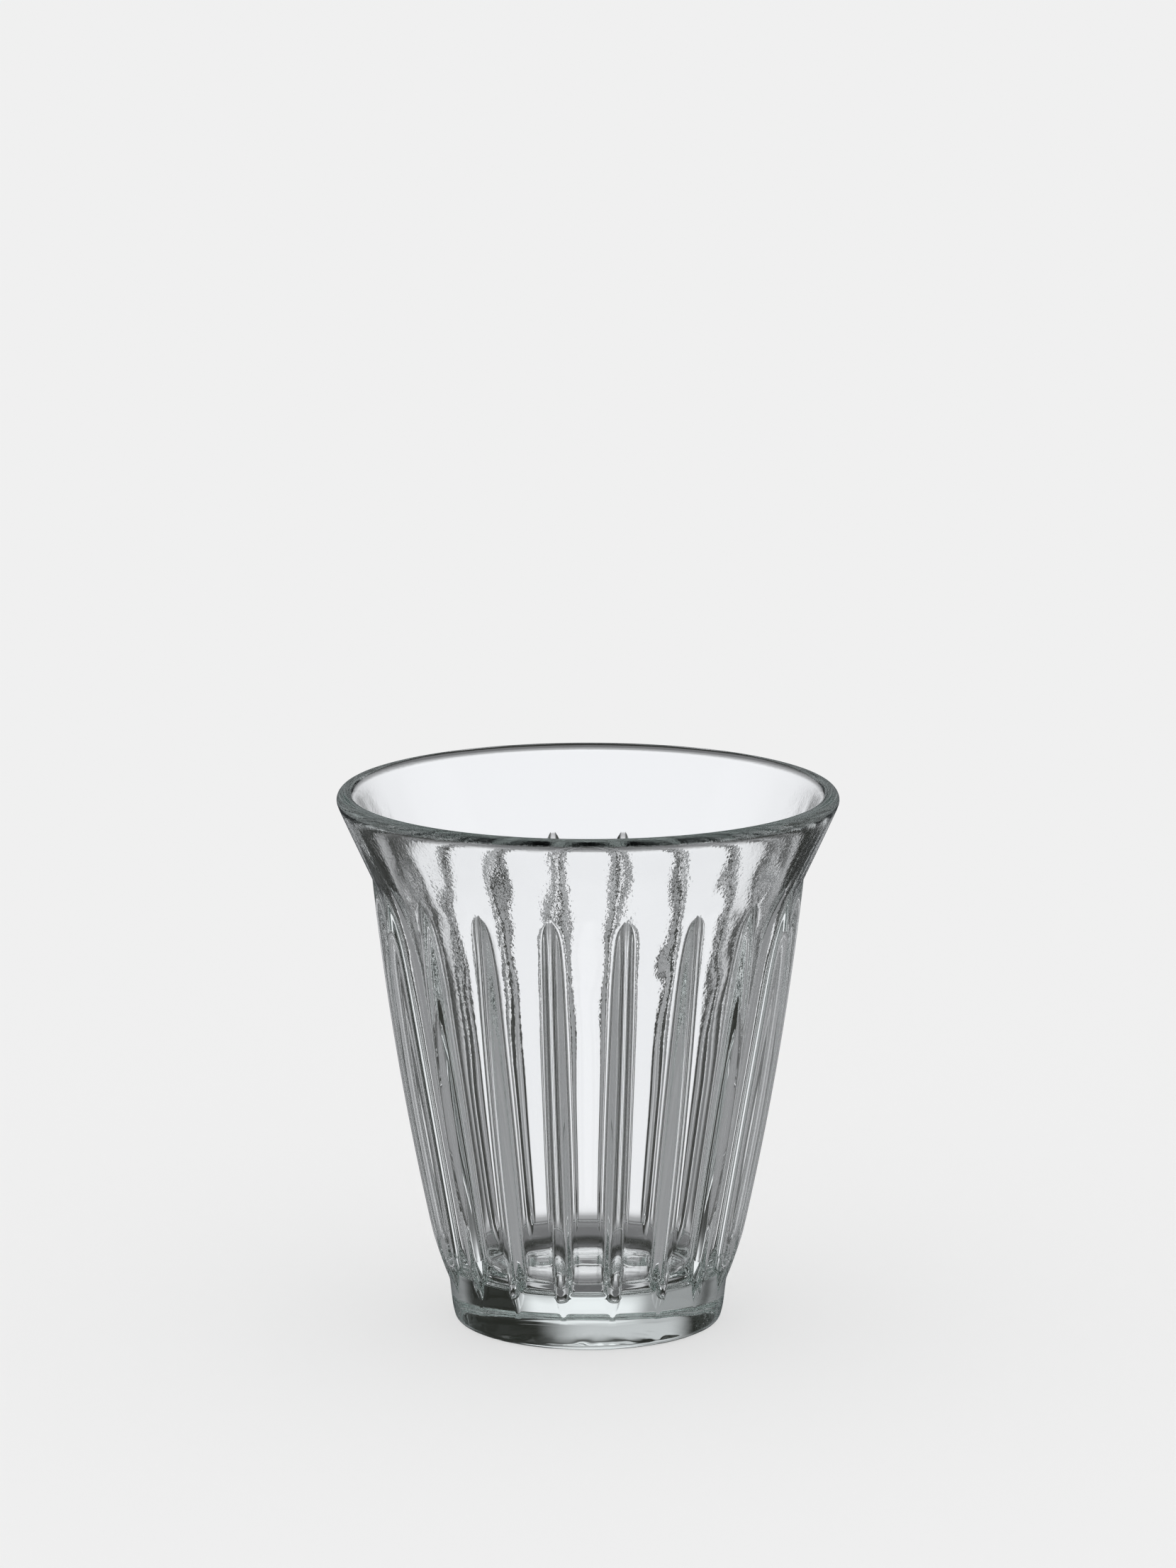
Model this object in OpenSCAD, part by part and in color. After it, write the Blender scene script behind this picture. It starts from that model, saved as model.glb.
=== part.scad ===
// Pressed juice glass with a flared mouth, eighteen upright ribs and a solid foot.
// Millimetres, +Z up, standing on z = 0 with the axis of the glass on the Z axis.
// The real glass is one casting. Its regions, the foot, the bowl, the rounded rim and
// each rib, are closed solids here that meet face to face.

/* [Glass] */
// Height of the glass
glass_h = 90; // [84:0.5:98]
// Diameter of the mouth over the rounded lip
mouth_d = 83.2; // [81:0.2:88]
// Thickness of the wall, and of the lip that rounds it off
wall_t = 3; // [2.4:0.1:3.4]

/* [Bowl] */
// Diameter of the wall's outer face where it leaves the foot
neck_d = 45.6; // [44:0.2:47]
// How far the lip stands out beyond the bend into the flare
flare_w = 8.36; // [6:0.02:11]
// Distance from the top of the glass down to that bend
bend_drop = 20.2; // [17:0.2:24]
// Radius of the outer face along that bend
bend_r = 55; // [30:1:60]
// How far the floor inside lies below the ledge of the foot
floor_drop = 2; // [1:0.25:3.5]
// Radius of the round between the floor and the wall
floor_round = 7; // [5:0.5:10]

/* [Foot] */
// Height of the ledge on top of the foot
foot_h = 10; // [9.5:0.25:12]
// Width of the ledge round the foot of the wall
ledge_w = 0.8; // [0.5:0.1:1.2]
// Lean of the foot's side from upright, in degrees
foot_draft = 6.6; // [3:0.2:9]
// Radius of the foot's bottom edge
base_edge_r = 0.6; // [0.2:0.1:1]
// Radius of the ledge's edge
ledge_edge_r = 0.4; // [0.2:0.1:0.6]
// Diameter of the shallow dome pressed into the underside
punt_d = 35; // [28:0.5:37]
// Depth of that dome
punt_depth = 0.9; // [0.5:0.1:1.5]

/* [Ribs] */
// Number of ribs round the bowl
rib_count = 18; // [12:1:20]
// Radius of the round along a rib's crest
crest_r = 1.2; // [0.8:0.05:1.5]
// Draft of a rib's sides, in degrees
rib_draft = 10; // [4:1:14]
// How far a rib stands off the wall at mid height
rib_relief = 2.9; // [2:0.1:3.4]
// How far it stands off the wall where its lower end begins to run out
rib_low_relief = 2.4; // [1.8:0.1:2.8]
// Distance from the top of the glass down to where a rib's crest meets the flare
rib_top_drop = 14.5; // [12:0.5:17]
// Height at which the lower end begins to run out
rib_low_z = 14.4; // [13:0.2:17]
// Height at which a rib has run out on the side of the foot
rib_end_z = 6.2; // [5:0.2:8]

/* [Hidden] */
axis_fn = 180;
edge_steps = 4;
bend_steps = 6;
crest_steps = 8;
path_steps = 8;

function rib_name(i) = str("rib_", i < 10 ? "0" : "", i);

// Directions in a section through the axis, given as [radius, height]
function along(lean) = [sin(lean), cos(lean)];
function outward(lean) = [cos(lean), -sin(lean)];
function arc(centre, radius, from, to, steps) =
    [for (i = [0:steps])
        let (turn = from + (to - from) * i / steps)
            centre + radius * [cos(turn), sin(turn)]];
function backward(points) = [for (i = [len(points) - 1:-1:0]) points[i]];

// The lip is a full round whose diameter is the wall
lip_r = wall_t / 2;
lip_centre = [mouth_d / 2 - lip_r, glass_h - lip_r];

// The outer face: a straight lower wall, a bend and a straight flare that ends as a
// tangent of the lip
neck_r = neck_d / 2;
bend_corner = [mouth_d / 2 - flare_w, glass_h - bend_drop];
wall_lean = atan2(bend_corner[0] - neck_r, bend_corner[1] - foot_h);
function wall_r(z) = neck_r + tan(wall_lean) * (z - foot_h);
to_lip = lip_centre - bend_corner;
flare_lean = atan2(to_lip[0], to_lip[1]) + asin(lip_r / norm(to_lip));
lip_outside = lip_centre + lip_r * outward(flare_lean);
lip_inside = lip_centre - lip_r * outward(flare_lean);
function flare_r(z) = lip_outside[0] - tan(flare_lean) * (lip_outside[1] - z);
bend_reach = bend_r * tan((flare_lean - wall_lean) / 2);
bend_centre = bend_corner - bend_reach * along(wall_lean) + bend_r * outward(wall_lean);
outer_bend = arc(bend_centre, bend_r, 180 - wall_lean, 180 - flare_lean, bend_steps);
inner_bend = arc(bend_centre, bend_r + wall_t, 180 - wall_lean, 180 - flare_lean, bend_steps);
outer_face = concat([[neck_r, foot_h]], outer_bend, [lip_outside]);

// The round between the floor and the wall, cut in two at the height of the ledge
floor_z = foot_h - floor_drop;
floor_centre_z = floor_z + floor_round;
floor_centre = [
    wall_r(floor_centre_z) - (wall_t + floor_round) / cos(wall_lean),
    floor_centre_z
];
ledge_turn = asin((foot_h - floor_centre_z) / floor_round);
round_above = arc(floor_centre, floor_round, ledge_turn, -wall_lean, bend_steps);
round_below = arc(floor_centre, floor_round, -90, ledge_turn, bend_steps);

// The foot
ledge_r = neck_r + ledge_w;
function foot_r(z) = ledge_r - tan(foot_draft) * (foot_h - z);
base_r = foot_r(0);
punt_r = punt_d / 2;
base_edge = arc([base_r - base_edge_r, base_edge_r], base_edge_r, -90, -foot_draft, edge_steps);
ledge_edge = arc([ledge_r - ledge_edge_r, foot_h - ledge_edge_r], ledge_edge_r,
    -foot_draft, 90, edge_steps);
dome_r = (punt_r * punt_r + punt_depth * punt_depth) / (2 * punt_depth);
dome_centre = [0, punt_depth - dome_r];
dome_turn = atan2(-dome_centre[1], punt_r);
dome = arc(dome_centre, dome_r, 90, dome_turn, bend_steps);
foot_side = concat(base_edge, ledge_edge);

// The crest of a rib is a parabola through three points: off the wall where the lower
// end begins to run out, off the wall at mid height, and on the flare
rib_top_z = glass_h - rib_top_drop;
rib_mid_z = (rib_low_z + rib_top_z) / 2;
half_rise = rib_top_z - rib_mid_z;
low_r = wall_r(rib_low_z) + rib_low_relief;
mid_r = wall_r(rib_mid_z) + rib_relief;
top_r = flare_r(rib_top_z);
crest_slope = (top_r - low_r) / (2 * half_rise);
crest_curve = (top_r + low_r - 2 * mid_r) / (2 * half_rise * half_rise);
function crest_at(z) =
    [mid_r + crest_slope * (z - rib_mid_z) + crest_curve * pow(z - rib_mid_z, 2), z];

// The path starts inside the foot, follows the run-out up and ends inside the flare
crest_end_z = (rib_top_z + lip_outside[1]) / 2;
run_out_foot = [foot_r(rib_end_z), rib_end_z];
run_out_rise = crest_at(rib_low_z) - run_out_foot;
overrun_share = 0.2;
crest_path = concat(
    [run_out_foot - overrun_share * run_out_rise],
    [for (i = [0:path_steps]) crest_at(rib_low_z + (crest_end_z - rib_low_z) * i / path_steps)]
);

// Section of a rib: a round crest and drafted sides that reach well into the wall,
// given as [depth under the crest, half width]
flank_turn = 90 - rib_draft;
rib_depth = rib_relief + wall_t;
rib_half_base = crest_r * sin(flank_turn)
    + (rib_depth - crest_r + crest_r * cos(flank_turn)) * tan(rib_draft);
rib_section = concat(
    [for (i = [0:crest_steps])
        let (turn = flank_turn * (2 * i / crest_steps - 1))
            [crest_r - crest_r * cos(turn), crest_r * sin(turn)]],
    [[rib_depth, rib_half_base], [rib_depth, -rib_half_base]]
);

module rib_bar() {
    n = len(rib_section);
    last = len(crest_path) - 1;
    points = [for (p = crest_path) for (s = rib_section) [p[0] - s[0], s[1], p[1]]];
    sides = [for (j = [0:last - 1]) for (k = [0:n - 1])
        let (here = j * n + k, beside = j * n + (k + 1) % n)
            [here, here + n, beside + n, beside]];
    bottom = [for (k = [0:n - 1]) k];
    top = [for (k = [n - 1:-1:0]) last * n + k];
    polyhedron(points, concat(sides, [bottom, top]));
}

// Everything inside the outer faces of the foot and the bowl
module core() {
    rotate_extrude($fn = axis_fn)
        polygon(concat([[0, 0]], foot_side, outer_face, [[0, lip_outside[1]]]));
}

module foot() {
    color([0.72, 0.80, 0.78, 0.6])
        rotate_extrude($fn = axis_fn)
            polygon(concat(dome, foot_side, backward(round_below), [[0, floor_z]]));
}

module bowl() {
    color([0.80, 0.87, 0.86, 0.5])
        rotate_extrude($fn = axis_fn)
            polygon(concat(outer_face, [lip_inside], backward(inner_bend), backward(round_above)));
}

module rim() {
    color([0.62, 0.70, 0.66, 0.7])
        rotate_extrude($fn = axis_fn)
            translate(lip_centre)
                rotate(-flare_lean)
                    intersection() {
                        circle(r = lip_r, $fn = axis_fn);
                        translate([-wall_t, 0])
                            square([2 * wall_t, wall_t]);
                    }
}

module rib(i) {
    // The gap between the last rib and the first one faces the front, along -Y
    turn = -90 + (i - 0.5) * 360 / rib_count;
    color([0.74, 0.82, 0.81, 0.6])
        rotate([0, 0, turn])
            difference() {
                rib_bar();
                core();
            }
}

foot();
bowl();
rim();
for (i = [1:rib_count])
    rib(i);
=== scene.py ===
"""A pressed juice glass: flared mouth, eighteen upright ribs and a solid foot.

Lengths are in millimetres in the dataclasses and become metres where geometry is made.
The glass stands on z = 0 with its axis on Z, and a gap between two ribs faces -Y.
"""

import logging
import math
from collections.abc import Callable
from dataclasses import dataclass, field, fields, replace
from enum import Enum

import bmesh
import bpy
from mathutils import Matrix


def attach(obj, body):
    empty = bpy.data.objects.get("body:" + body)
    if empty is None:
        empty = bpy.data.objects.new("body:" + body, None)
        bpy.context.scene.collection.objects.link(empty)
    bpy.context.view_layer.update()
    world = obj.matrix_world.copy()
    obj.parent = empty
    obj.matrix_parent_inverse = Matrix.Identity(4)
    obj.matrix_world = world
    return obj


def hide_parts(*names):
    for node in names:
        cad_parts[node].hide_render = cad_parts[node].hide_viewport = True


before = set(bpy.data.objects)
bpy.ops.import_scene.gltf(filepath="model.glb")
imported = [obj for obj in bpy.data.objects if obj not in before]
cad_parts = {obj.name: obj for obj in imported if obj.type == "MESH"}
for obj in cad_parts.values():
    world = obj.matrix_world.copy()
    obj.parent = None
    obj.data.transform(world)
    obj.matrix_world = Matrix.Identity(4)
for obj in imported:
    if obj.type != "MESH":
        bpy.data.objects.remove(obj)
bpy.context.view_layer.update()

MM = 0.001
ON_PLANE = 1e-4 * MM
MERGE_WITHIN = 0.004 * MM
WHITE = (1.0, 1.0, 1.0, 1.0)
log = logging.getLogger("juice_glass")


class Zone(Enum):
    """Regions of the glass whose skin is treated on its own."""

    FLOOR = "floor_skin"
    BASE = "base_skin"
    FLARE = "flare_skin"


def deselect_all() -> None:
    """Leave edit mode if need be and deselect every object."""
    if bpy.context.object is not None and bpy.context.object.mode == "EDIT":
        bpy.ops.object.mode_set(mode="OBJECT")
    bpy.ops.object.select_all(action="DESELECT")


def edited(piece: bpy.types.Object) -> bmesh.types.BMesh:
    """Mesh of an object in edit mode, with its vertices ready to be picked by index."""
    mesh = bmesh.from_edit_mesh(piece.data)
    mesh.verts.ensure_lookup_table()
    return mesh


def smooth_step(share: float) -> float:
    """Ease a share from 0 to 1, held at both ends."""
    share = min(1.0, max(0.0, share))
    return share * share * (3.0 - 2.0 * share)


def ease(value: float, start: float, end: float) -> float:
    """Ease from 0 where a value is at the start to 1 where it is at the end."""
    return smooth_step((value - start) / (end - start))


def arc_points(
    centre: tuple[float, float], radius: float, start: float, end: float, steps: int
) -> list[tuple[float, float]]:
    """Points along an arc in the section plane.

    Args:
        centre: Radius and height of the arc's centre.
        radius: Radius of the arc.
        start: First angle in degrees.
        end: Last angle in degrees.
        steps: Number of equal steps between them.

    Returns:
        Points as radius and height, with both ends.
    """
    turns = [math.radians(start + (end - start) * i / steps) for i in range(steps + 1)]
    return [(centre[0] + radius * math.cos(t), centre[1] + radius * math.sin(t)) for t in turns]


@dataclass
class GlassSection:
    """Section of the glass between its ribs, with the sizes of the part's source."""

    glass_h: float = 90.0
    mouth_d: float = 83.2
    wall_t: float = 3.0
    neck_d: float = 45.6
    flare_w: float = 8.36
    bend_drop: float = 20.2
    bend_r: float = 55.0
    floor_drop: float = 2.0
    floor_round: float = 7.0
    foot_h: float = 10.0
    ledge_w: float = 0.8
    foot_draft: float = 6.6
    base_edge_r: float = 1.0
    ledge_edge_r: float = 0.4
    punt_d: float = 35.0
    punt_depth: float = 0.9

    def __post_init__(self) -> None:
        """Work out the lines, the bend and the lip that the sizes lead to."""
        self.lip_r = self.wall_t / 2
        self.lip_centre = (self.mouth_d / 2 - self.lip_r, self.glass_h - self.lip_r)
        self.neck_r = self.neck_d / 2
        corner = (self.mouth_d / 2 - self.flare_w, self.glass_h - self.bend_drop)
        self.lean = math.atan2(corner[0] - self.neck_r, corner[1] - self.foot_h)
        to_lip = (self.lip_centre[0] - corner[0], self.lip_centre[1] - corner[1])
        self.flare = math.atan2(*to_lip) + math.asin(self.lip_r / math.hypot(*to_lip))
        reach = self.bend_r * math.tan((self.flare - self.lean) / 2)
        self.bend_centre = (
            corner[0] - reach * math.sin(self.lean) + self.bend_r * math.cos(self.lean),
            corner[1] - reach * math.cos(self.lean) - self.bend_r * math.sin(self.lean),
        )
        self.floor_z = self.foot_h - self.floor_drop
        centre_z = self.floor_z + self.floor_round
        self.floor_centre = (
            self.wall_r(centre_z) - (self.wall_t + self.floor_round) / math.cos(self.lean),
            centre_z,
        )
        self.ledge_r = self.neck_r + self.ledge_w

    def wall_r(self, z: float) -> float:
        """Radius of the straight lower wall at a height."""
        return self.neck_r + math.tan(self.lean) * (z - self.foot_h)

    def flare_r(self, z: float) -> float:
        """Radius of the straight flare at a height."""
        lip_x = self.lip_centre[0] + self.lip_r * math.cos(self.flare)
        lip_z = self.lip_centre[1] - self.lip_r * math.sin(self.flare)
        return lip_x - math.tan(self.flare) * (lip_z - z)

    def foot_r(self, z: float) -> float:
        """Radius of the foot's side at a height."""
        return self.ledge_r - math.tan(math.radians(self.foot_draft)) * (self.foot_h - z)

    def face_r(self, z: float, depth: float = 0.0) -> float:
        """Radius of the wall above the foot.

        Args:
            z: Height.
            depth: Distance of the face inside the outer one, square to it.

        Returns:
            The radius in millimetres.
        """
        radius = self.bend_r + depth
        if z < self.bend_centre[1] + radius * math.sin(self.lean):
            return self.wall_r(z) - depth / math.cos(self.lean)
        if z < self.bend_centre[1] + radius * math.sin(self.flare):
            return self.bend_centre[0] - math.sqrt(radius**2 - (z - self.bend_centre[1]) ** 2)
        return self.flare_r(z) - depth / math.cos(self.flare)

    def dome_z(self, radius: float) -> float:
        """Height of the shallow dome in the underside at a radius."""
        half = self.punt_d / 2
        return self.punt_depth * (1.0 - (radius / half) ** 2)


@dataclass
class Rib:
    """A rib: its crest in the section plane, and its cross section with a narrow flat on top.

    Where the rib is low, the fillet takes at most its share of the rise and reaches up at most its
    share of the side, and the round of the corner ends at its share of what is left.
    """

    section: GlassSection
    flat: float = 0.2
    corner_r: float = 1.0
    full_rise: float = 0.5
    draft: float = 12.0
    relief: float = 2.9
    low_relief: float = 2.4
    top_drop: float = 14.5
    low_z: float = 14.4
    end_z: float = 6.2
    run_out_slope: float = 0.285
    run_out_curve: float = 0.007
    fillet: float = 0.45
    fillet_share: float = 0.45
    reach_share: float = 0.6
    round_share: float = 0.75
    thin: float = 0.06
    tip_ease: float = 0.25

    def __post_init__(self) -> None:
        """Fit the crest's parabola to its three points."""
        top_z = self.section.glass_h - self.top_drop
        self.mid_z = (self.low_z + top_z) / 2
        half = top_z - self.mid_z
        low = self.section.wall_r(self.low_z) + self.low_relief
        self.mid = self.section.wall_r(self.mid_z) + self.relief
        top = self.section.flare_r(top_z)
        self.slope = (top - low) / (2 * half)
        self.curve = (top + low - 2 * self.mid) / (2 * half * half)
        self.flank_turn = math.radians(90.0 - self.draft)

    def crest(self, z: float) -> float:
        """Radius of the crest at a height, on the arc or on the run-out below it."""
        if z < self.low_z:
            drop = self.low_z - z
            fall = self.run_out_slope * drop + self.run_out_curve * drop**2
            return self.crest(self.low_z) - fall
        rise = z - self.mid_z
        return self.mid + self.slope * rise + self.curve * rise * rise

    def height(self, z: float, wall: float) -> float:
        """How far the crest stands off a wall of a given radius, eased out where it meets it."""
        over = max(0.0, self.crest(z) - wall)
        return over * smooth_step(over / self.tip_ease)

    def stations(self, height: float) -> list[tuple[float, float]]:
        """Cross section at a height of the crest over the wall.

        Args:
            height: How far the crest stands off the wall.

        Returns:
            Seven points as half width and height over the wall: two on the flat of the crest, two
            on its round corner, and three from the flank over the fillet onto the wall.
        """
        rise = max(height, self.thin)
        flat = self.flat * smooth_step(rise / self.full_rise)
        corner_depth = self.corner_r * (1.0 - math.cos(self.flank_turn))
        end_turn, flank = self.flank_turn, (rise - corner_depth) / math.sin(self.flank_turn)
        if rise <= corner_depth:
            end_turn, flank = math.acos(1.0 - rise / self.corner_r), 0.0
        length = self.corner_r * end_turn + flank
        fillet = min(self.fillet, self.fillet_share * rise)
        reach = fillet * math.tan(end_turn / 2)
        start = length - min(reach, self.reach_share * length)
        last_round = min(self.corner_r * end_turn, self.round_share * start)
        points = [(0.0, rise)]
        for along in (0.0, last_round / 2, last_round, start, length):
            turn = min(along / self.corner_r, end_turn)
            rest = along - self.corner_r * turn
            half = flat + self.corner_r * math.sin(turn) + rest * math.cos(self.flank_turn)
            depth = self.corner_r * (1.0 - math.cos(turn)) + rest * math.sin(self.flank_turn)
            points.append((half, rise - depth))
        base = points.pop()[0]
        sag = fillet * (1.0 / math.cos(end_turn / 2) - 1.0)
        out = (math.pi - end_turn) / 2
        points.append((base + sag * math.cos(out), sag * math.sin(out)))
        points.append((base + reach, 0.0))
        share = min(1.0, max(0.0, height) / rise)
        return [(half, over * share) for half, over in points]


@dataclass
class Row:
    """One ring of the skin: where it lies between the ribs, and its height on a rib's crest."""

    r: float
    z: float
    crest_z: float | None = None


@dataclass(frozen=True)
class Wave:
    """Gentle waves in a zone of the skin, with the level of the cloud that leaves it in place."""

    zone: Zone
    height: float
    length: float
    middle: float = 0.5


@dataclass
class PressedGlass:
    """The whole glass as one seamless closed skin.

    Its rings are listed from the middle of the underside, over the outside and the lip, to the
    middle of the floor inside. Each wave's fades say where it begins and where it is full.
    """

    section: GlassSection = field(default_factory=GlassSection)
    rib_count: int = 18
    half_columns: int = 8
    cap_r: float = 1.3
    cap_margin: float = 0.2
    even_reach: float = 6.0
    gap_share: float = 0.38
    base_steps: int = 3
    ledge_steps: int = 2
    lip_steps: int = 8
    round_steps: int = 5
    dome_radii: tuple[float, ...] = (6.0, 11.0, 15.0, 16.8)
    dome_edge: tuple[float, float] = (17.35, 0.03)
    rest_radii: tuple[float, ...] = (17.9, 19.8, 21.3)
    foot_heights: tuple[float, ...] = (2.2, 4.2, 5.6, 6.4, 7.2, 8.1, 9.0)
    ledge_crests: tuple[float, ...] = (9.7, 9.95, 10.2)
    neck_rings: tuple[tuple[float, float, float], ...] = ((0.16, 0.02, 10.5), (0.04, 0.25, 10.8))
    low_heights: tuple[float, ...] = (11.3, 12.6, 14.2, 16.2, 18.6)
    wall_step: float = 4.25
    wall_steps: int = 12
    tip_heights: tuple[float, ...] = (71.2, 72.6, 73.6, 74.3, 74.9, 75.3, 75.8, 76.6)
    flare_heights: tuple[float, ...] = (78.2, 81.0, 84.6)
    inner_heights: tuple[float, ...] = (85.6, 81.0, 76.5, 72.5, 69.0, 65.5, 62.0, 54.0, 45.0)
    inner_low_heights: tuple[float, ...] = (36.0, 26.0, 18.0)
    floor_radii: tuple[float, ...] = (10.5, 6.5)
    inner_share: float = 0.6
    floor_margin: float = 0.5
    base_height_fade: tuple[float, float] = (2.6, 1.0)
    base_radius_fade: tuple[float, float] = (2.0, 6.0)
    floor_height_fade: tuple[float, float] = (22.0, 12.0)
    floor_radius_fade: tuple[float, float] = (1.4, 4.4)
    flare_height_fade: tuple[float, float] = (40.0, 58.0)
    lip_fade: tuple[float, float] = (2.0, 7.0)
    waves: tuple[Wave, ...] = (
        Wave(Zone.FLARE, 0.24, 7.0),
        Wave(Zone.FLOOR, 0.06, 5.0),
        Wave(Zone.BASE, 0.08, 4.0, 1.0),
    )

    def __post_init__(self) -> None:
        """Make the rib and the list of rings."""
        self.rib = Rib(self.section)
        self.pitch = 2 * math.pi / self.rib_count
        self.column_step = self.pitch / 2 / self.half_columns
        self.rows = self.underside() + self.foot_side() + self.outer_wall()
        self.rows += self.lip() + self.inside()

    def underside(self) -> list[Row]:
        """Rings of the dome, the resting ring and the bottom edge."""
        s = self.section
        rows = [Row(r, s.dome_z(r)) for r in (self.cap_r, *self.dome_radii)]
        rows += [Row(*self.dome_edge)] + [Row(r, 0.0) for r in self.rest_radii]
        edge = s.base_edge_r
        centre = (s.foot_r(0.0) - edge, edge)
        bend = arc_points(centre, edge, -90.0, -s.foot_draft, self.base_steps)
        return rows + [Row(*p) for p in bend]

    def foot_side(self) -> list[Row]:
        """Rings up the foot, over the ledge and onto the wall, with the ribs' run-out."""
        s = self.section
        rows = [Row(s.foot_r(z), z, z) for z in self.foot_heights]
        edge = s.ledge_edge_r
        centre = (s.ledge_r - edge, s.foot_h - edge)
        bend = arc_points(centre, edge, 0.0, 90.0, self.ledge_steps)
        rows += [Row(*p, crest_z=z) for p, z in zip(bend, self.ledge_crests)]
        return rows + [Row(s.neck_r + out, s.foot_h + up, z) for out, up, z in self.neck_rings]

    def outer_wall(self) -> list[Row]:
        """Rings up the wall and the flare."""
        start = self.low_heights[-1]
        wall = [start + self.wall_step * i for i in range(1, self.wall_steps + 1)]
        heights = [*self.low_heights, *wall, *self.tip_heights, *self.flare_heights]
        return [Row(self.section.face_r(z), z, z) for z in heights]

    def lip(self) -> list[Row]:
        """Rings round the lip, from outside to inside."""
        s = self.section
        lean = math.degrees(s.flare)
        bend = arc_points(s.lip_centre, s.lip_r, -lean, 180.0 - lean, self.lip_steps)
        return [Row(*p) for p in bend]

    def inside(self) -> list[Row]:
        """Rings down the inside wall, round into the floor and to its middle."""
        s = self.section
        heights = (*self.inner_heights, *self.inner_low_heights)
        rows = [Row(s.face_r(z, s.wall_t), z) for z in heights]
        lean = math.degrees(s.lean)
        bend = arc_points(s.floor_centre, s.floor_round, -lean, -90.0, self.round_steps)
        rows += [Row(*p) for p in bend]
        return rows + [Row(r, s.floor_z) for r in (*self.floor_radii, self.cap_r)]

    def evenness(self, row: Row) -> float:
        """How far a ring's columns are back to even spacing, 0 beside a rib and 1 away from it."""
        if row.crest_z is None:
            return 1.0
        top = self.section.glass_h - self.rib.top_drop
        past = max(row.crest_z - top, self.rib.end_z - row.crest_z, 0.0)
        return smooth_step(past / self.even_reach)

    def ring(self, row: Row) -> list[tuple[float, float, float]]:
        """Points of a ring that a rib crosses, from the crest to the middle of the gap.

        Args:
            row: The ring.

        Returns:
            Points as x, y and z, in millimetres, in the frame of a rib that points along +X.
        """
        share = self.evenness(row)
        height = self.rib.height(row.crest_z, row.r)
        stations = self.rib.stations(height)
        turns = [math.asin(half / (row.r + over)) for half, over in stations]
        gap = self.pitch / 2 - turns[-1]
        turns += [turns[-1] + self.gap_share * gap, self.pitch / 2]
        overs = [over for _, over in stations] + [0.0, 0.0]
        points = []
        for j, (turn, over) in enumerate(zip(turns, overs)):
            a = turn + (self.column_step * j - turn) * share
            x, y = row.r * math.cos(a), row.r * math.sin(a)
            if over > 0.0:
                x, y = max(x, row.r + over), (row.r + over) * math.sin(turn)
            lift = 0.0 if height <= 0.0 else min(1.0, over / height)
            points.append((x, y, row.z + (row.crest_z - row.z) * lift))
        return points

    def chain(self) -> bpy.types.Object:
        """Draw the section as a chain of vertices, extruded from the first one.

        Returns:
            The object, in edit mode.
        """
        first = self.rows[0]
        bpy.ops.mesh.primitive_plane_add(size=MM, location=(first.r * MM, 0, first.z * MM))
        piece = bpy.context.object
        piece.name = piece.data.name = "pressed_glass"
        bpy.ops.object.transform_apply(location=True, rotation=True, scale=True)
        bpy.ops.object.mode_set(mode="EDIT")
        bpy.ops.mesh.select_mode(type="VERT")
        bpy.ops.mesh.select_all(action="SELECT")
        bpy.ops.mesh.merge(type="CENTER")
        for before, row in zip(self.rows, self.rows[1:]):
            step = ((row.r - before.r) * MM, 0.0, (row.z - before.z) * MM)
            bpy.ops.mesh.extrude_region_move(TRANSFORM_OT_translate={"value": step})
        return piece

    def select(self, piece: bpy.types.Object, wanted: Callable[[bmesh.types.BMVert], bool]) -> None:
        """Select the vertices that a test picks, and nothing else."""
        bpy.ops.mesh.select_all(action="DESELECT")
        mesh = edited(piece)
        for v in mesh.verts:
            if wanted(v):
                v.select_set(True)
        mesh.select_flush(True)
        bmesh.update_edit_mesh(piece.data)

    def spin_half(self, piece: bpy.types.Object, turn: float) -> None:
        """Spin the section, which lies in the XZ plane, over half a pitch.

        Args:
            piece: The object, in edit mode.
            turn: The angle in radians, signed.
        """
        self.select(piece, lambda v: abs(v.co.y) < ON_PLANE)
        self.spin(self.half_columns, turn, copied=False)

    def spin(self, steps: int, turn: float, copied: bool) -> None:
        """Spin what is selected round the axis of the glass.

        Args:
            steps: Number of equal steps.
            turn: The whole angle in radians.
            copied: Whether separate copies are made, with no faces between them.
        """
        bpy.ops.mesh.spin(
            steps=steps, angle=turn, center=(0, 0, 0), axis=(0, 0, 1), dupli=copied
        )

    def grid(self, piece: bpy.types.Object) -> dict[tuple[int, int], int]:
        """Find the vertex of each ring and column after the spin.

        Args:
            piece: The object, in edit mode.

        Returns:
            Vertex indices by ring and column, where column 0 is the crest.
        """
        found = {}
        for v in edited(piece).verts:
            r, z = math.hypot(v.co.x, v.co.y) / MM, v.co.z / MM
            away = [abs(r - row.r) + abs(z - row.z) for row in self.rows]
            column = round(math.atan2(v.co.y, v.co.x) / self.column_step)
            found[(away.index(min(away)), column)] = v.index
        return found

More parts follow.
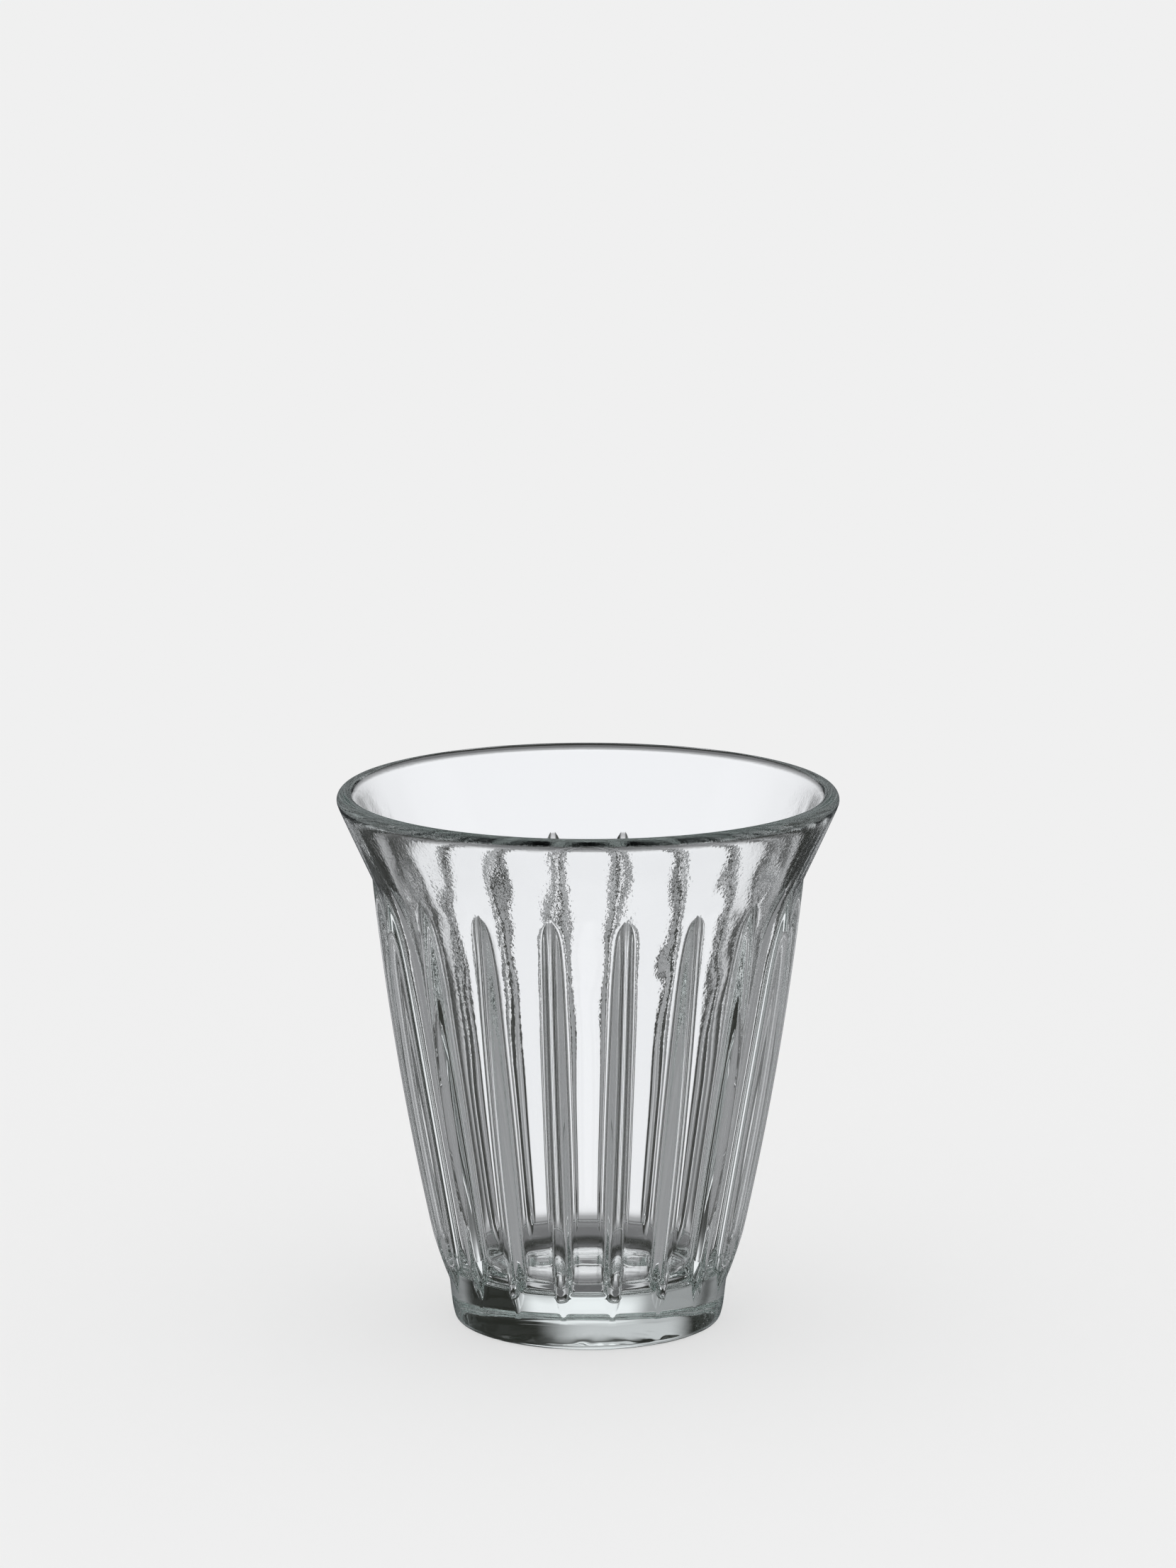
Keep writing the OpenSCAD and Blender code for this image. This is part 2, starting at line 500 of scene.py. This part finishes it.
    def raise_rib(self, piece: bpy.types.Object) -> None:
        """Move each ring's columns, in pairs either side of the crest, onto the rib.

        Args:
            piece: The object, in edit mode.
        """
        found = self.grid(piece)
        bpy.ops.mesh.select_all(action="DESELECT")
        for k, row in enumerate(self.rows):
            if self.evenness(row) >= 1.0:
                continue
            for j, (x, y, z) in enumerate(self.ring(row)):
                pair = {found[(k, j)], found[(k, -j)]}
                for index in pair:
                    edited(piece).verts[index].select_set(True)
                turn = self.column_step * j
                if j:
                    bpy.ops.transform.resize(
                        value=(1.0, y / (row.r * math.sin(turn)), 1.0),
                        center_override=(0.0, 0.0, 0.0),
                    )
                outward = x - row.r * math.cos(turn)
                bpy.ops.transform.translate(value=(outward * MM, 0.0, (z - row.z) * MM))
                for index in pair:
                    edited(piece).verts[index].select_set(False)

    def build(self) -> bpy.types.Object:
        """Model one rib with its share of the wall, copy it round and close the skin.

        Returns:
            The finished glass.
        """
        deselect_all()
        piece = self.chain()
        self.spin_half(piece, self.pitch / 2)
        self.spin_half(piece, -self.pitch / 2)
        self.raise_rib(piece)
        bpy.ops.mesh.select_all(action="SELECT")
        copies = self.rib_count - 1
        self.spin(copies, self.pitch * copies, copied=True)
        bpy.ops.mesh.select_all(action="SELECT")
        bpy.ops.mesh.remove_doubles(threshold=MERGE_WITHIN)
        bpy.ops.object.mode_set(mode="OBJECT")
        self.round_off(piece)
        for wave in self.waves:
            self.ripple(piece, wave)
        bpy.ops.object.mode_set(mode="EDIT")
        for z in (self.rows[0].z, self.rows[-1].z):
            self.cap(piece, z)
        bpy.ops.mesh.select_all(action="SELECT")
        bpy.ops.mesh.normals_make_consistent(inside=False)
        bpy.ops.object.mode_set(mode="OBJECT")
        bpy.ops.object.shade_smooth()
        return piece

    def cap(self, piece: bpy.types.Object, z: float) -> None:
        """Fill the small ring left open on the axis at a height."""
        reach = (self.cap_r + self.cap_margin) * MM
        self.select(
            piece, lambda v: math.hypot(v.co.x, v.co.y) < reach and abs(v.co.z - z * MM) < reach
        )
        bpy.ops.mesh.edge_face_add()

    def reach(self, zone: Zone, r: float, z: float) -> float:
        """How much of a zone's waves a spot of the skin takes.

        Args:
            zone: The zone.
            r: Radius of the spot in millimetres.
            z: Its height in millimetres.

        Returns:
            A share from 0 to 1.
        """
        s = self.section
        if zone is Zone.BASE:
            return ease(z, *self.base_height_fade) * ease(r, *self.base_radius_fade)
        within = s.face_r(max(z, s.foot_h), s.wall_t * self.inner_share)
        if z < s.floor_z - self.floor_margin or r > within:
            return 0.0
        if zone is Zone.FLOOR:
            return ease(z, *self.floor_height_fade) * ease(r, *self.floor_radius_fade)
        return ease(z, *self.flare_height_fade) * ease(s.glass_h - z, *self.lip_fade)

    def ripple(self, piece: bpy.types.Object, wave: Wave) -> None:
        """Let a zone of the skin wave as hot glass does against a cooler mould.

        Args:
            piece: The glass.
            wave: The zone and the size of its waves.
        """
        group = piece.vertex_groups.new(name=wave.zone.value)
        for v in piece.data.vertices:
            share = self.reach(wave.zone, math.hypot(v.co.x, v.co.y) / MM, v.co.z / MM)
            if share > 0.0:
                group.add([v.index], share, "REPLACE")
        clouds = bpy.data.textures.new(wave.zone.value, "CLOUDS")
        clouds.noise_scale = wave.length * MM
        clouds.noise_depth = 1
        bend = piece.modifiers.new(wave.zone.value, "DISPLACE")
        bend.texture = clouds
        bend.texture_coords = "LOCAL"
        bend.direction = "NORMAL"
        bend.vertex_group = group.name
        bend.strength = wave.height * MM
        bend.mid_level = wave.middle
        bpy.ops.object.modifier_apply(modifier=bend.name)

    def round_off(self, piece: bpy.types.Object) -> None:
        """Round the cage off with one level of subdivision."""
        bend = piece.modifiers.new("round off", "SUBSURF")
        bend.levels = bend.render_levels = 1
        bpy.ops.object.modifier_apply(modifier=bend.name)


@dataclass(frozen=True)
class ClearGlass:
    """Clear soda-lime glass with a faint green-grey body colour."""

    name: str = "clear_glass"
    ior: float = 1.52
    tint: tuple[float, float, float, float] = (0.62, 0.80, 0.74, 1.0)
    density: float = 6.0
    grain: float = 0.6
    grain_layers: float = 2.0
    grain_height: float = 0.009
    grain_from: float = 45.0
    grain_to: float = 72.0
    smooth_share: float = 0.02

    def make(self) -> bpy.types.Material:
        """Build the material.

        Returns:
            The material.
        """
        material = bpy.data.materials.new(self.name)
        material.use_nodes = True
        nodes, links = material.node_tree.nodes, material.node_tree.links
        shader = nodes["Principled BSDF"]
        shader.inputs["Base Color"].default_value = WHITE
        shader.inputs["Roughness"].default_value = 0.0
        shader.inputs["IOR"].default_value = self.ior
        shader.inputs["Transmission Weight"].default_value = 1.0
        self.orange_peel(material.node_tree)
        volume = nodes.new("ShaderNodeVolumeAbsorption")
        volume.inputs["Color"].default_value = self.tint
        volume.inputs["Density"].default_value = self.density
        links.new(volume.outputs["Volume"], nodes["Material Output"].inputs["Volume"])
        return material

    def orange_peel(self, tree: bpy.types.NodeTree) -> None:
        """Give the skin the fine grain of fire-polished glass, stronger up in the flare.

        Args:
            tree: The material's node tree.
        """
        place = tree.nodes.new("ShaderNodeTexCoord").outputs["Object"]
        noise = tree.nodes.new("ShaderNodeTexNoise")
        tree.links.new(place, noise.inputs["Vector"])
        noise.inputs["Scale"].default_value = 1.0 / (self.grain * MM)
        noise.inputs["Detail"].default_value = self.grain_layers
        split = tree.nodes.new("ShaderNodeSeparateXYZ")
        tree.links.new(place, split.inputs[0])
        high = ramp(tree, split.outputs["Z"], self.grain_from * MM, self.grain_to * MM)
        depth = math_node(tree, "MULTIPLY", high, 1.0 - self.smooth_share)
        depth = math_node(tree, "ADD", depth, self.smooth_share)
        bump = tree.nodes.new("ShaderNodeBump")
        bump.inputs["Strength"].default_value = 1.0
        bump.inputs["Distance"].default_value = self.grain_height * MM
        height = math_node(tree, "MULTIPLY", noise.outputs["Fac"], depth)
        tree.links.new(height, bump.inputs["Height"])
        tree.links.new(bump.outputs["Normal"], tree.nodes["Principled BSDF"].inputs["Normal"])


@dataclass(frozen=True)
class Opening:
    """A lit stretch between the dark cards, as angles in degrees of where it lies.

    The turn of its middle is from +Y, with half its width to either side, and it goes from low to
    high over the level. Its lower and upper edges are soft, and its ends fade. A paired opening
    stands to the left and to the right of +Y.
    """

    turn: float
    half: float
    low: float
    high: float
    soft: float = 3.0
    fade: float = 3.0
    light: float = 0.97
    paired: bool = False


@dataclass(frozen=True)
class Cards:
    """Dark cards that stand and lie round the glass, seen only in the glass itself.

    Pale openings between them lie in every eighth of a turn, where the glass is clear in front of
    them. A ring of grey joins those at the sides and the back. Between the front opening and the
    ones beside it the cards are dark, and so is the glass in front of them.
    """

    ring: Opening = Opening(180.0, 130.0, -61.0, 14.0, 3.0, 6.0, 0.3)
    table_front: Opening = Opening(0.0, 180.0, -90.0, -58.0, light=0.12)
    table: Opening = Opening(180.0, 150.0, -90.0, -57.0, 3.0, 8.0, 0.6)
    table_under: Opening = Opening(0.0, 180.0, -90.0, -66.0, 2.5, light=0.13)
    sky: Opening = Opening(0.0, 180.0, 56.0, 90.0, 4.0, light=0.7)
    side_sky: Opening = Opening(90.0, 16.0, 14.0, 40.0, 5.0, 5.0, 0.3, True)
    front_sky: Opening = Opening(-13.0, 20.0, 10.0, 25.0, 3.0, 9.0, 0.62)
    level_glow: Opening = Opening(-18.0, 25.0, -10.0, 12.0, 4.0, 8.0, 0.36)
    low_glow: Opening = Opening(0.0, 19.0, -45.0, -23.0, 4.0, 4.0, 0.18)
    front_under: Opening = Opening(0.0, 12.0, -29.0, -19.0, 4.0, 4.0, 0.4)
    front: Opening = Opening(0.0, 8.5, -21.0, 12.0)
    front_level: Opening = Opening(2.0, 17.0, -8.5, 12.0, 3.0, 4.5)
    back: Opening = Opening(180.0, 6.0, -20.0, 10.0)
    side: Opening = Opening(90.0, 7.0, -9.0, 9.0, 2.5, 2.5, paired=True)
    front_corner: Opening = Opening(45.0, 6.0, -31.0, -18.5, 2.0, 2.0, paired=True)
    back_corner: Opening = Opening(135.0, 6.0, -20.0, -8.0, 2.0, 2.0, paired=True)
    dark: tuple[float, float, float, float] = (0.022, 0.023, 0.019, 1.0)
    mirrored: tuple[float, float, float, float] = (0.05, 0.055, 0.06, 1.0)
    cool: tuple[float, float, float] = (0.985, 0.995, 1.02)

    def openings(self) -> list[Opening]:
        """All openings in the order in which they cover each other, the paired ones twice."""
        found = []
        for value in (getattr(self, f.name) for f in fields(self)):
            if isinstance(value, Opening):
                found.append(value)
                if value.paired:
                    found.append(replace(value, turn=-value.turn))
        return found

    def seen(self, tree: bpy.types.NodeTree, vector: bpy.types.NodeSocket) -> bpy.types.NodeSocket:
        """Build the colour of what the glass shows in a direction.

        Args:
            tree: The node tree to build in.
            vector: The direction, of length 1.

        Returns:
            The colour.
        """
        split = tree.nodes.new("ShaderNodeSeparateXYZ")
        tree.links.new(vector, split.inputs[0])
        height = split.outputs["Z"]
        flat = vector_node(tree, "NORMALIZE", vector_node(tree, "MULTIPLY", vector, (1, 1, 0)))
        colour: bpy.types.NodeSocket | tuple[float, float, float, float] = self.dark
        for opening in self.openings():
            low, high, soft = opening.low, opening.high, opening.soft
            shares = []
            if low - soft > -90.0:
                shares.append(ramp(tree, height, sine(low - soft), sine(low + soft)))
            if high + soft < 90.0:
                shares.append(ramp(tree, height, sine(high + soft), sine(high - soft)))
            if opening.half + opening.fade < 180.0:
                facing = self.toward(tree, flat, opening.turn)
                outer, inner = opening.half + opening.fade, opening.half - opening.fade
                shares.append(ramp(tree, facing, cosine(outer), cosine(inner)))
            share = shares[0]
            for other in shares[1:]:
                share = math_node(tree, "MULTIPLY", share, other)
            light = (*(opening.light * c for c in self.cool), 1.0)
            colour = mix_colour(tree, share, colour, light)
        return colour

    def toward(
        self, tree: bpy.types.NodeTree, flat: bpy.types.NodeSocket, degrees: float
    ) -> bpy.types.NodeSocket:
        """Cosine of the angle between a level direction and one given by its turn from +Y."""
        turn = math.radians(degrees)
        return vector_node(
            tree, "DOT_PRODUCT", flat, (math.sin(turn), math.cos(turn), 0.0), "Value"
        )


def sine(degrees: float) -> float:
    """Sine of an angle in degrees."""
    return math.sin(math.radians(degrees))


def cosine(degrees: float) -> float:
    """Cosine of an angle in degrees, held at 0 and 180."""
    return math.cos(math.radians(min(180.0, max(0.0, degrees))))


def ramp(
    tree: bpy.types.NodeTree, value: bpy.types.NodeSocket, start: float, end: float
) -> bpy.types.NodeSocket:
    """Ease a value from 0 at the start to 1 at the end.

    Args:
        tree: The node tree to build in.
        value: The value.
        start: Where the result is 0.
        end: Where it is 1.

    Returns:
        The eased value, held at both ends.
    """
    node = tree.nodes.new("ShaderNodeMapRange")
    node.interpolation_type = "SMOOTHSTEP"
    tree.links.new(value, node.inputs["Value"])
    low, high = min(start, end), max(start, end)
    node.inputs["From Min"].default_value = low
    node.inputs["From Max"].default_value = high
    node.inputs["To Min"].default_value = 0.0 if start < end else 1.0
    node.inputs["To Max"].default_value = 1.0 if start < end else 0.0
    return node.outputs["Result"]


def math_node(
    tree: bpy.types.NodeTree,
    operation: str,
    first: bpy.types.NodeSocket | float,
    second: bpy.types.NodeSocket | float | None = None,
) -> bpy.types.NodeSocket:
    """Add a Math node and feed it.

    Args:
        tree: The node tree to build in.
        operation: The node's operation.
        first: First value or socket.
        second: Second value or socket, if the operation takes one.

    Returns:
        The node's result.
    """
    node = tree.nodes.new("ShaderNodeMath")
    node.operation = operation
    for socket, value in zip(node.inputs, (first, second)):
        if isinstance(value, bpy.types.NodeSocket):
            tree.links.new(value, socket)
        elif value is not None:
            socket.default_value = value
    return node.outputs["Value"]


def vector_node(
    tree: bpy.types.NodeTree,
    operation: str,
    first: bpy.types.NodeSocket,
    second: tuple[float, float, float] | None = None,
    result: str = "Vector",
) -> bpy.types.NodeSocket:
    """Add a Vector Math node and feed it.

    Args:
        tree: The node tree to build in.
        operation: The node's operation.
        first: First vector.
        second: Second vector, if the operation takes one.
        result: Name of the output.

    Returns:
        The node's result.
    """
    node = tree.nodes.new("ShaderNodeVectorMath")
    node.operation = operation
    tree.links.new(first, node.inputs[0])
    if second is not None:
        node.inputs[1].default_value = second
    return node.outputs[result]


def mix_colour(
    tree: bpy.types.NodeTree,
    share: bpy.types.NodeSocket,
    first: bpy.types.NodeSocket | tuple[float, float, float, float],
    second: bpy.types.NodeSocket | tuple[float, float, float, float],
) -> bpy.types.NodeSocket:
    """Mix two colours.

    Args:
        tree: The node tree to build in.
        share: Share of the second colour.
        first: Colour or socket at share 0.
        second: Colour or socket at share 1.

    Returns:
        The mixed colour.
    """
    node = tree.nodes.new("ShaderNodeMix")
    node.data_type = "RGBA"
    tree.links.new(share, node.inputs["Factor"])
    for name, value in (("A", first), ("B", second)):
        socket = next(s for s in node.inputs if s.name == name and s.type == "RGBA")
        if isinstance(value, bpy.types.NodeSocket):
            tree.links.new(value, socket)
        else:
            socket.default_value = value
    return next(s for s in node.outputs if s.type == "RGBA")


@dataclass
class Studio:
    """Pale seamless floor and backdrop, soft light and the camera."""

    cards: Cards = field(default_factory=Cards)
    backdrop: float = 0.871
    floor_r: float = 5.0
    camera_at: tuple[float, float, float] = (0.0, -1.0685, 0.3063)
    camera_pitch: float = 11.40
    lens: float = 151.4
    sensor: float = 36.0
    bounces: int = 20
    floor_glow: float = 0.5
    floor_sides: int = 96

    def pale(self) -> tuple[float, float, float, float]:
        """Colour of the floor and the backdrop."""
        return (self.backdrop, self.backdrop, self.backdrop, 1.0)

    def in_glass(self, tree: bpy.types.NodeTree) -> bpy.types.NodeSocket:
        """Share that is 1 for what is seen through or reflected in the glass.

        Args:
            tree: The node tree to build in.

        Returns:
            The share.
        """
        path = tree.nodes.new("ShaderNodeLightPath")
        return math_node(
            tree, "MAXIMUM", path.outputs["Is Transmission Ray"], path.outputs["Is Glossy Ray"]
        )

    def mix_shader(
        self,
        tree: bpy.types.NodeTree,
        share: bpy.types.NodeSocket,
        first: bpy.types.NodeSocket,
        second: bpy.types.NodeSocket,
    ) -> bpy.types.NodeSocket:
        """Mix two shaders.

        Args:
            tree: The node tree to build in.
            share: Share of the second shader.
            first: Shader at share 0.
            second: Shader at share 1.

        Returns:
            The mixed shader.
        """
        mix = tree.nodes.new("ShaderNodeMixShader")
        for socket, value in zip(mix.inputs, (share, first, second)):
            tree.links.new(value, socket)
        return mix.outputs["Shader"]

    def floor(self) -> None:
        """Lay the floor, which lets what the glass shows through to the cards under it."""
        deselect_all()
        bpy.ops.mesh.primitive_circle_add(
            vertices=self.floor_sides, radius=self.floor_r, fill_type="NGON"
        )
        floor = bpy.context.object
        floor.name = "studio_floor"
        material = bpy.data.materials.new("pale_floor")
        material.use_nodes = True
        tree = material.node_tree
        shader = tree.nodes["Principled BSDF"]
        shader.inputs["Base Color"].default_value = self.pale()
        shader.inputs["Roughness"].default_value = 1.0
        shader.inputs["Specular IOR Level"].default_value = 0.0
        bright = tree.nodes.new("ShaderNodeEmission")
        bright.inputs["Color"].default_value = self.pale()
        camera = tree.nodes.new("ShaderNodeLightPath").outputs["Is Camera Ray"]
        share = math_node(tree, "MULTIPLY", camera, self.floor_glow)
        lit = self.mix_shader(tree, share, shader.outputs["BSDF"], bright.outputs["Emission"])
        opened = tree.nodes.new("ShaderNodeBsdfTransparent")
        seen = self.mix_shader(tree, self.in_glass(tree), lit, opened.outputs["BSDF"])
        tree.links.new(seen, tree.nodes["Material Output"].inputs["Surface"])
        floor.data.materials.append(material)

    def surroundings(self) -> None:
        """Light the glass softly and evenly, and stand the cards and the pale openings round it."""
        world = bpy.data.worlds.new("studio")
        bpy.context.scene.world = world
        world.use_nodes = True
        tree = world.node_tree
        tree.nodes.clear()
        toward = tree.nodes.new("ShaderNodeTexCoord").outputs["Generated"]
        path = tree.nodes.new("ShaderNodeLightPath").outputs
        plain = mix_colour(tree, path["Is Camera Ray"], WHITE, self.pale())
        cards = self.cards.seen(tree, toward)
        cards = mix_colour(tree, path["Is Transmission Ray"], self.cards.mirrored, cards)
        # Depths are whole numbers, so under 0.5 there was no diffuse bounce yet
        unlit = math_node(tree, "LESS_THAN", path["Diffuse Depth"], 0.5)
        share = math_node(tree, "MULTIPLY", unlit, self.in_glass(tree))
        shown = self.mix_shader(tree, share, *(self.background(tree, c) for c in (plain, cards)))
        out = tree.nodes.new("ShaderNodeOutputWorld")
        tree.links.new(shown, out.inputs["Surface"])

    def background(
        self, tree: bpy.types.NodeTree, colour: bpy.types.NodeSocket
    ) -> bpy.types.NodeSocket:
        """Shine with a colour from all round.

        Args:
            tree: The world's node tree.
            colour: The colour.

        Returns:
            The shader.
        """
        node = tree.nodes.new("ShaderNodeBackground")
        tree.links.new(colour, node.inputs["Color"])
        return node.outputs["Background"]

    def light_paths(self) -> None:
        """Let light turn round inside the lip and the foot often enough to come out again."""
        paths = bpy.context.scene.cycles
        paths.max_bounces = paths.glossy_bounces = paths.transmission_bounces = self.bounces

    def camera(self) -> None:
        """Set up the scene's camera at the photograph's viewing angle."""
        deselect_all()
        turn = (math.radians(90.0 - self.camera_pitch), 0.0, 0.0)
        bpy.ops.object.camera_add(location=self.camera_at, rotation=turn)
        camera = bpy.context.object
        camera.name = "studio_camera"
        camera.data.lens = self.lens
        camera.data.sensor_fit = "AUTO"
        camera.data.sensor_width = self.sensor
        bpy.context.scene.camera = camera


def main() -> None:
    """Build the glass and its studio."""
    logging.basicConfig(level=logging.INFO, format="%(name)s: %(message)s")
    studio = Studio()
    studio.camera()
    studio.floor()
    studio.surroundings()
    studio.light_paths()
    bpy.context.scene.view_settings.view_transform = "Standard"
    glass = PressedGlass().build()
    glass.data.materials.append(ClearGlass().make())
    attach(glass, "root")
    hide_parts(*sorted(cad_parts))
    triangles = sum(len(p.vertices) - 2 for p in glass.data.polygons)
    log.info("%s: %d triangles", glass.name, triangles)


if __name__ == "__main__":
    main()
